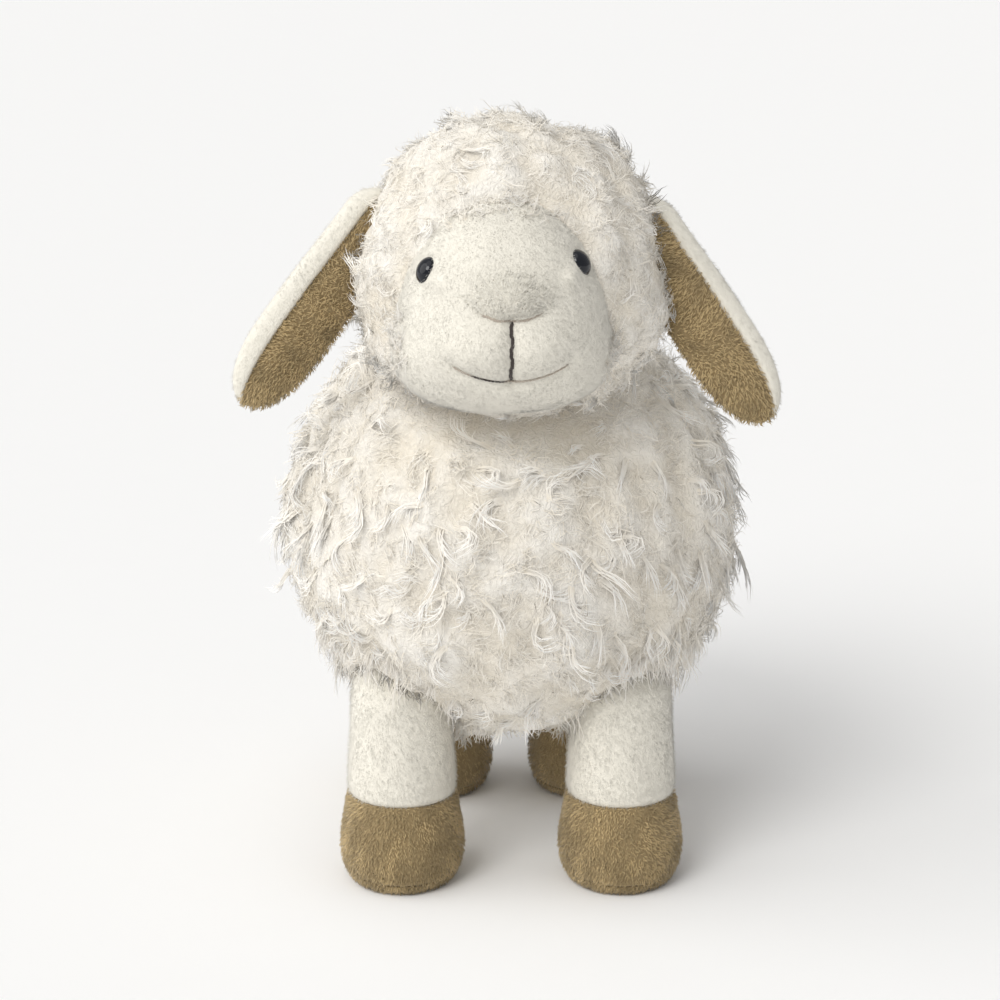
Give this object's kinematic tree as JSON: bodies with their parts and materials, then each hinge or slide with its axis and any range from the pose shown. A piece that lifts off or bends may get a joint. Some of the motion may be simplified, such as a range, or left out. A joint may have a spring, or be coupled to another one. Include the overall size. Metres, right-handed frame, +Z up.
{
  "type": "plush sheep toy",
  "caption": "Standing plush sheep with a curly wool body and hood, smooth face, tan ears and feet, and limbs, head and tail that bend.",
  "frame": {"origin": "on the floor, under the middle of the sheep's bounding box", "axes": "+Z up, -Y the way the sheep looks, +X to the sheep's own left"},
  "size_m": [0.188, 0.2416, 0.277],
  "materials": {
    "cream_wool": "long curly wool pile",
    "cream_plush": "short brushed pile",
    "tan_plush": "short brushed pile",
    "white_fibre": "loose polyester filling, inside",
    "pellet_cloth": "plain woven pouch, inside",
    "black_plastic": "polished blue-black",
    "clear_plastic": "plain moulded, inside",
    "dark_thread": "matt embroidery thread",
    "taupe_thread": "matt embroidery thread"
  },
  "bodies": {
    "torso": {"body_fleece": "cream_wool", "body_stuffing": "white_fibre"},
    "neck": {"neck_stuffing": "white_fibre"},
    "head": {"head_fleece": "cream_wool", "face_panel": "cream_plush", "head_stuffing": "white_fibre", "nose_stitch": "taupe_thread", "lip_stitch": "dark_thread", "mouth_stitch": "dark_thread", "eye_left": "black_plastic", "eye_washer_left": "clear_plastic", "eye_right": "black_plastic", "eye_washer_right": "clear_plastic"},
    "ear_left": {"ear_outer_left": "cream_plush", "ear_inner_left": "tan_plush", "ear_wadding_left": "white_fibre"},
    "ear_right": {"ear_outer_right": "cream_plush", "ear_inner_right": "tan_plush", "ear_wadding_right": "white_fibre"},
    "leg_front_left": {"leg_cover_front_left": "cream_plush", "foot_cover_front_left": "tan_plush", "foot_sole_front_left": "tan_plush", "leg_stuffing_front_left": "white_fibre", "foot_pellets_front_left": "pellet_cloth"},
    "leg_front_right": {"leg_cover_front_right": "cream_plush", "foot_cover_front_right": "tan_plush", "foot_sole_front_right": "tan_plush", "leg_stuffing_front_right": "white_fibre", "foot_pellets_front_right": "pellet_cloth"},
    "leg_hind_left": {"leg_cover_hind_left": "cream_plush", "foot_cover_hind_left": "tan_plush", "foot_sole_hind_left": "tan_plush", "leg_stuffing_hind_left": "white_fibre", "foot_pellets_hind_left": "pellet_cloth"},
    "leg_hind_right": {"leg_cover_hind_right": "cream_plush", "foot_cover_hind_right": "tan_plush", "foot_sole_hind_right": "tan_plush", "leg_stuffing_hind_right": "white_fibre", "foot_pellets_hind_right": "pellet_cloth"},
    "tail": {"tail_fleece": "cream_wool", "tail_stuffing": "white_fibre"}
  },
  "joints": [
    {"name": "head_nod", "type": "hinge", "parent": "torso", "child": "neck", "pos_m": [0, -0.03979, 0.18459], "axis": [1, 0, 0], "range_deg": [-8, 8], "stiffness_Nm_per_rad": 1},
    {"name": "head_turn", "type": "hinge", "parent": "neck", "child": "head", "pos_m": [0, -0.03979, 0.18459], "axis": [0, -0.4472, 0.8944], "range_deg": [-20, 20], "stiffness_Nm_per_rad": 0.5},
    {"name": "ear_lift_left", "type": "hinge", "parent": "head", "child": "ear_left", "pos_m": [0.04684, -0.055, 0.235], "axis": [0.1513, -0.9588, 0.2403], "range_deg": [-12, 60], "stiffness_Nm_per_rad": 0.05},
    {"name": "ear_lift_right", "type": "hinge", "parent": "head", "child": "ear_right", "pos_m": [-0.04745, -0.055, 0.2385], "axis": [-0.3173, 0.9441, 0.0897], "range_deg": [-12, 60], "stiffness_Nm_per_rad": 0.05},
    {"name": "leg_swing_front_left", "type": "hinge", "parent": "torso", "child": "leg_front_left", "pos_m": [0.03918, -0.056, 0.067], "axis": [1, 0, 0], "range_deg": [-12, 12], "stiffness_Nm_per_rad": 0.5},
    {"name": "leg_swing_front_right", "type": "hinge", "parent": "torso", "child": "leg_front_right", "pos_m": [-0.03918, -0.056, 0.067], "axis": [1, 0, 0], "range_deg": [-12, 12], "stiffness_Nm_per_rad": 0.5},
    {"name": "leg_swing_hind_left", "type": "hinge", "parent": "torso", "child": "leg_hind_left", "pos_m": [0.02905, 0.037, 0.056], "axis": [1, 0, 0], "range_deg": [-12, 12], "stiffness_Nm_per_rad": 0.5},
    {"name": "leg_swing_hind_right", "type": "hinge", "parent": "torso", "child": "leg_hind_right", "pos_m": [-0.02905, 0.037, 0.056], "axis": [1, 0, 0], "range_deg": [-12, 12], "stiffness_Nm_per_rad": 0.5},
    {"name": "tail_wag", "type": "hinge", "parent": "torso", "child": "tail", "pos_m": [0, 0.0885, 0.131], "axis": [0, 0.6691, 0.7431], "range_deg": [-25, 25], "stiffness_Nm_per_rad": 0.04}
  ]
}
